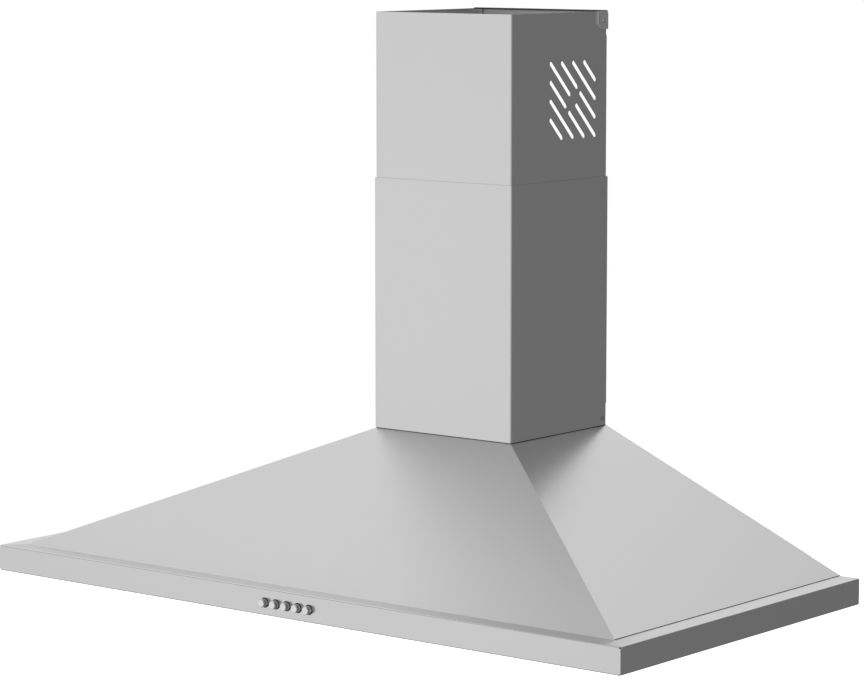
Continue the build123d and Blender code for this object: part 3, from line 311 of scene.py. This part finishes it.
def frosted_glass():
    """Pressed glass, frosted on the inside."""
    material, tree, shader = new_material("frosted_glass")
    cloud = stretched_noise(tree, (900.0, 900.0, 900.0))
    shader.inputs["Transmission Weight"].default_value = 0.35
    shader.inputs["IOR"].default_value = 1.5
    tint(tree, cloud, shader, (0.88, 0.9, 0.88), (0.95, 0.96, 0.94))
    vary(tree, cloud, shader.inputs["Roughness"], 0.3, 0.45)
    bump(tree, cloud, shader, 0.08)
    return material


steel_x = brushed_steel("satin_steel_x", 0)
steel_y = brushed_steel("satin_steel_y", 1)
steel_z = brushed_steel("satin_steel_z", 2)

# Other finishes: name, colour, metallic, roughness, grain, contrast, spread of roughness, relief
chrome = finish("polished_chrome", (0.67, 0.67, 0.68), 1.0, 0.1, (60, 60, 60), 0.01, 0.03, 0.0)
aluminium = finish("mill_aluminium", (0.74, 0.75, 0.76), 1.0, 0.33, (40, 2500, 2500), 0.04, 0.06, 0.04)
nylon = finish("dark_nylon", (0.055, 0.055, 0.06), 0.0, 0.45, (1800, 1800, 1800), 0.25, 0.1, 0.1)
black = finish("black_moulding", (0.022, 0.022, 0.024), 0.0, 0.5, (2600, 2600, 2600), 0.2, 0.08, 0.15)
# The top frame's black coat paints the dark shadow line in the gap under the chimney.
black_gap_shadow_coat = finish("black_coat_painting_gap_shadow", (0.02, 0.02, 0.022), 0.0, 0.55, (1500, 1500, 1500), 0.2, 0.08, 0.2)
white = finish("off_white_moulding", (0.74, 0.73, 0.7), 0.0, 0.42, (900, 900, 900), 0.04, 0.06, 0.05)
lacquer = finish("lacquered_motor", (0.16, 0.165, 0.17), 0.6, 0.38, (1600, 30, 30), 0.3, 0.08, 0.12)
ground = finish("ground_steel", (0.6, 0.6, 0.61), 1.0, 0.22, (3000, 3000, 120), 0.05, 0.05, 0.03)
bronze = finish("sintered_bronze", (0.52, 0.37, 0.2), 1.0, 0.42, (2400, 2400, 2400), 0.2, 0.1, 0.15)
passivated = finish("grey_green_zinc", (0.33, 0.4, 0.35), 0.8, 0.4, (800, 800, 800), 0.2, 0.08, 0.05)
dull_zinc = finish("dull_zinc", (0.68, 0.69, 0.70), 1.0, 0.45, (1200, 1200, 1200), 0.05, 0.05, 0.05)

by_slot = {
    "stainless": steel_x,
    "chrome": chrome,
    "zinc": galvanised(),
    "coated": black_gap_shadow_coat,
    "passivated": passivated,
    "filter": aluminium,
    "wheel": nylon,
    "black": black,
    "white": white,
    "motor": lacquer,
    "bright": ground,
    "bronze": bronze,
    "lens": frosted_glass(),
}


def give(material, *names):
    """Put a material on CAD nodes."""
    for name in names:
        data = nodes[name].data
        data.materials.clear()
        data.materials.append(material)


for subpart in frame["record"]["subparts"]:
    give(by_slot[subpart["material_slot"]], subpart["node"])
give(steel_y, "left_lip", "right_lip", "left_panel", "right_panel")
give(steel_z, "lower_chimney", "upper_chimney")
# The front lip's steel is toned darker than the other steel sheet, which paints shade on it; its lower
# roughness is the finish's own.
give(brushed_steel("front_lip_steel_shaded", along=0, rough=0.18, tone=0.585), "front_lip")
give(streaked_steel("streaked_steel"), "front_panel")
give(dull_zinc, "wall_bracket")


# Pieces with finer shapes than their CAD nodes

def add_piece(name, bm, material, body, slot, *replaced):
    """Finish a mesh as a smooth-shaded piece of the object that rides on a body."""
    bmesh.ops.recalc_face_normals(bm, faces=bm.faces)
    mesh = bpy.data.meshes.new(name)
    bm.to_mesh(mesh)
    bm.free()
    mesh.shade_smooth()
    mesh.set_sharp_from_angle(angle=SHARP_ANGLE)
    mesh.materials.append(material)
    piece = bpy.data.objects.new(name, mesh)
    bpy.context.scene.collection.objects.link(piece)
    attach(piece, body)
    if replaced:
        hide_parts(*replaced)


def join_loops(bm, low, high):
    """Faces between two loops of vertices; a loop of one vertex is a tip."""
    count = max(len(low), len(high))
    for i in range(count):
        j = (i + 1) % count
        around = [low[i % len(low)], low[j % len(low)], high[j % len(high)], high[i % len(high)]]
        bm.faces.new(list(dict.fromkeys(around)))


def lathe(bm, profile, place, sides):
    """Turn (radius, height) points about the local Z axis; returns the loops."""
    loops = []
    for radius, height in profile:
        turns = [2 * math.pi * i / sides for i in range(sides)] if radius else [0]
        spots = [Vector((radius * math.cos(a), radius * math.sin(a), height)) for a in turns]
        loops.append([bm.verts.new(place @ spot) for spot in spots])
    for low, high in zip(loops, loops[1:]):
        join_loops(bm, low, high)
    return loops


def prism(bm, *ends):
    """A straight closed solid between two like rings of points."""
    loops = [[bm.verts.new(spot) for spot in ring] for ring in ends]
    join_loops(bm, *loops)
    for loop in loops:
        bm.faces.new(loop)


def outwards(spot, direction):
    """A frame at spot whose local Z points in direction."""
    return Matrix.Translation(spot) @ Vector(direction).to_track_quat("Z", "Y").to_matrix().to_4x4()


def add_button(name):
    """A push button: polished cap that swells from its face to its root, on its square stem."""
    low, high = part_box(name)
    middle = (low + high) / 2
    radius = (high.x - low.x) / 2
    swell = CAP_BULGE / math.sin(CAP_LEAN)
    root = -CAP_BULGE - CAP_EDGE
    leans = [CAP_LEAN * i / CAP_STEPS for i in range(CAP_STEPS + 1)]
    bulge = [(radius - swell * (1 - math.cos(a)), root + swell * math.sin(a)) for a in leans]
    face_r = bulge[-1][0] - CAP_EDGE
    bm = bmesh.new()
    profile = [(0, -CAP_DEPTH), (radius, -CAP_DEPTH), *bulge, (face_r, 0), (0, 0)]
    lathe(bm, profile, outwards((middle.x, low.y, middle.z), (0, -1, 0)), CAP_SIDES)
    size = Matrix.Diagonal((STEM_W, high.y - low.y - CAP_DEPTH, STEM_W, 1))
    stem_y = (low.y + CAP_DEPTH + high.y) / 2
    bmesh.ops.create_cube(bm, size=1.0, matrix=Matrix.Translation((middle.x, stem_y, middle.z)) @ size)
    add_piece(f"{name}_cap", bm, chrome, name, "chrome", name)


for name in ("lamp_button", "stop_button", "low_button", "medium_button", "high_button"):
    add_button(name)


def pan_head(bm, place, radius):
    """A pan-head screw with a cross recess; the head's face looks along the local Z axis."""
    shank = [(0, -SHANK_L), (SHANK_R, -SHANK_L), (SHANK_R, 0)]
    head = [(across * radius, up * HEAD_H) for across, up in HEAD_CURVE]
    top = head[-1][1]
    loops = lathe(bm, shank + head, place, HEAD_SIDES)
    wide, arm = RECESS_W * radius, RECESS_ARM * radius
    quarter = [Vector((x, y, 0)) for x, y in ((wide, wide), (wide, arm), (-wide, arm))]
    turns = [Matrix.Rotation(math.pi / 2 * turn, 3, "Z") for turn in range(4)]
    outline = [turn @ spot for turn in turns for spot in quarter]
    bottom = [RECESS_TAPER * spot for spot in outline]
    mouth = [bm.verts.new(place @ Vector((*spot.xy, top))) for spot in outline]
    floor = [bm.verts.new(place @ Vector((*spot.xy, RECESS_FLOOR * HEAD_H))) for spot in bottom]
    join_loops(bm, mouth, floor)
    bm.faces.new(floor)
    rims = [list(zip(loop, loop[1:] + loop[:1])) for loop in (mouth, loops[-1])]
    bmesh.ops.triangle_fill(bm, edges=[bm.edges.get(ends) for rim in rims for ends in rim])


def add_side_screws(name, material, body, slot):
    """The pair of screws of a CAD node, one on each side."""
    low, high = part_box(name)
    middle = (low + high) / 2
    bm = bmesh.new()
    for side in (-1, 1):
        spot = (side * (high.x - HEAD_H), middle.y, middle.z)
        pan_head(bm, outwards(spot, (side, 0, 0)), (high.y - low.y) / 2)
    add_piece(f"{name}_heads", bm, material, body, slot, name)


add_side_screws("chimney_screws", passivated, "canopy", "passivated")
add_side_screws("ear_screws", ground, "upper_chimney", "bright")


def cell_range(low, high, half):
    """Numbers of the half cells from low to high, with a margin to cut off."""
    return range(math.floor(low / half) - CELL_MARGIN, math.ceil(high / half) + CELL_MARGIN + 1)


def expanded_metal(low, high, z, shift):
    """A layer of expanded metal cut to the rectangle low to high, as a closed mesh."""
    half_x, half_y = CELL[0] / 2, CELL[1] / 2
    keep = 1 - STRAND / 2 * math.hypot(1 / half_x, 1 / half_y)
    corners = [(1, 0, 0), (0, 1, LAYER_TILT), (-1, 0, 0), (0, -1, -LAYER_TILT)]
    columns = cell_range(low[0], high[0], half_x)
    rows = cell_range(low[1], high[1], half_y)
    spots = [(i, j) for i in columns for j in rows if (i + j + shift) % 2 == 0]
    bm = bmesh.new()
    sheets = []
    for face_z in (z - LAYER_T / 2, z + LAYER_T / 2):
        cells = {}
        for i, j in spots:
            cells[i, j] = [
                bm.verts.new(((i + keep * x) * half_x, (j + keep * y) * half_y, face_z + rise))
                for x, y, rise in corners
            ]
        for (i, j), cell in cells.items():
            upper_right, upper_left = cells.get((i + 1, j + 1)), cells.get((i - 1, j + 1))
            lower_right, right = cells.get((i + 1, j - 1)), cells.get((i + 2, j))
            if upper_right:
                bm.faces.new((cell[EAST], upper_right[SOUTH], upper_right[WEST], cell[NORTH]))
            if upper_left:
                bm.faces.new((cell[NORTH], upper_left[EAST], upper_left[SOUTH], cell[WEST]))
            if upper_right and lower_right and right:
                bm.faces.new((cell[EAST], lower_right[NORTH], right[WEST], upper_right[SOUTH]))
        sheets.append(cells)
    below, above = sheets
    for spot in spots:
        join_loops(bm, below[spot], above[spot])
    for at, normal in ((low, (-1, 0, 0)), (low, (0, -1, 0)), (high, (1, 0, 0)), (high, (0, 1, 0))):
        everything = bm.verts[:] + bm.edges[:] + bm.faces[:]
        bmesh.ops.bisect_plane(bm, geom=everything, plane_co=(*at, z), plane_no=normal, clear_outer=True)
    bmesh.ops.holes_fill(bm, edges=[edge for edge in bm.edges if edge.is_boundary])
    made = bpy.data.meshes.new("layer")
    bm.to_mesh(made)
    bm.free()
    return made


def add_filter_mesh(side):
    """Two staggered layers of expanded metal in a filter frame, cut out for the handle block."""
    name = f"filter_mesh_{side}"
    low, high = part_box(name)
    grip_low, grip_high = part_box(f"filter_handle_{side}")
    spans = [
        ((low.x, grip_high.y), (high.x, high.y)),
        ((low.x, low.y), (grip_low.x, grip_high.y)),
        ((grip_high.x, low.y), (high.x, grip_high.y)),
    ]
    bm = bmesh.new()
    for shift, share in enumerate(LAYER_AT):
        z = low.z + (high.z - low.z) * share
        for span in spans:
            bm.from_mesh(expanded_metal(*span, z, shift))
    add_piece(f"{name}_layers", bm, aluminium, f"filter_{side}", "filter", name)


def add_lens(side):
    """A lamp lens with pressed rings on its lower face."""
    name = f"lamp_lens_{side}"
    low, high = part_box(name)
    middle = (low + high) / 2
    radius = (high.x - low.x) / 2
    rings = 2 * LENS_RINGS + 1
    ripple = [(radius * (1 - k / rings), LENS_RIPPLE * (k % 2)) for k in range(rings)]
    bm = bmesh.new()
    profile = [(0, high.z - low.z), (radius, high.z - low.z), *ripple, (0, LENS_RIPPLE)]
    lathe(bm, profile, Matrix.Translation((middle.x, middle.y, low.z)), LENS_SIDES)
    add_piece(f"{name}_rings", bm, by_slot["lens"], "canopy", "lens", name)


for side in ("left", "right"):
    add_filter_mesh(side)
    add_lens(side)


def add_bracket_shade_strip():
    """A black half-round strip along the top of the wall bracket's back plate: painted shade for the
    dark line there.
    """
    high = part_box("wall_bracket")[1]
    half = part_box("upper_chimney")[1].x - SHADE_STRIP_INSET
    middle_y, middle_z = high.y - SHADE_STRIP_R, high.z - SHADE_STRIP_R
    bends = [math.pi * i / SHADE_STRIP_STEPS for i in range(SHADE_STRIP_STEPS + 1)]
    outline = [(middle_y - SHADE_STRIP_R * math.cos(a), middle_z + SHADE_STRIP_R * math.sin(a)) for a in bends]
    bm = bmesh.new()
    prism(bm, *([(x, y, z) for y, z in outline] for x in (-half, half)))
    # Painted shade: this black strip stands for the dark shade line along the bracket's top.
    add_piece("wall_bracket_shade_strip", bm, black, "upper_chimney", "black")


def add_ear_folds():
    """On each side of the upper chimney, the swage that carries the sheet out to the bracket's ear."""
    low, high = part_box("wall_bracket")
    wall, _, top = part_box("upper_chimney")[1]
    ear_y = low.y - FOLD_GAP
    rise = high.x - wall
    steps = [i / FOLD_STEPS for i in range(FOLD_STEPS + 1)]
    bm = bmesh.new()
    for side in (-1, 1):
        outline = [(side * (wall + rise * t * t), ear_y - FOLD_RUN * (1 - t)) for t in steps]
        outline.append((side * wall, ear_y))
        prism(bm, *([(x, y, z) for x, y in outline] for z in (top - FOLD_H, top)))
    add_piece("ear_folds", bm, steel_z, "upper_chimney", "stainless")


add_bracket_shade_strip()
add_ear_folds()


# Floor

def add_floor():
    """A pale round floor, seen from above only, that throws nothing back on the metal."""
    mesh = bpy.data.meshes.new("floor")
    bm = bmesh.new()
    bmesh.ops.create_circle(bm, cap_ends=True, radius=FLOOR_R, segments=FLOOR_SIDES)
    bm.to_mesh(mesh)
    bm.free()
    floor = bpy.data.objects.new("floor", mesh)
    floor.location = (0, 0, FLOOR_Z)
    bpy.context.scene.collection.objects.link(floor)
    material, tree, shader = new_material("pale_floor")
    shader.inputs["Base Color"].default_value = (0.85, 0.85, 0.85, 1)
    shader.inputs["Roughness"].default_value = 0.9
    shader.inputs["Emission Color"].default_value = (1, 1, 1, 1)
    shader.inputs["Emission Strength"].default_value = 1.0
    clear = tree.nodes.new("ShaderNodeBsdfTransparent")
    sides = tree.nodes.new("ShaderNodeNewGeometry")
    mix = tree.nodes.new("ShaderNodeMixShader")
    tree.links.new(sides.outputs["Backfacing"], mix.inputs["Fac"])
    tree.links.new(shader.outputs["BSDF"], mix.inputs[1])
    tree.links.new(clear.outputs["BSDF"], mix.inputs[2])
    tree.links.new(mix.outputs["Shader"], tree.nodes["Material Output"].inputs["Surface"])
    floor.data.materials.append(material)
    floor.visible_glossy = False
    floor.visible_diffuse = False
    floor.visible_shadow = False


add_floor()
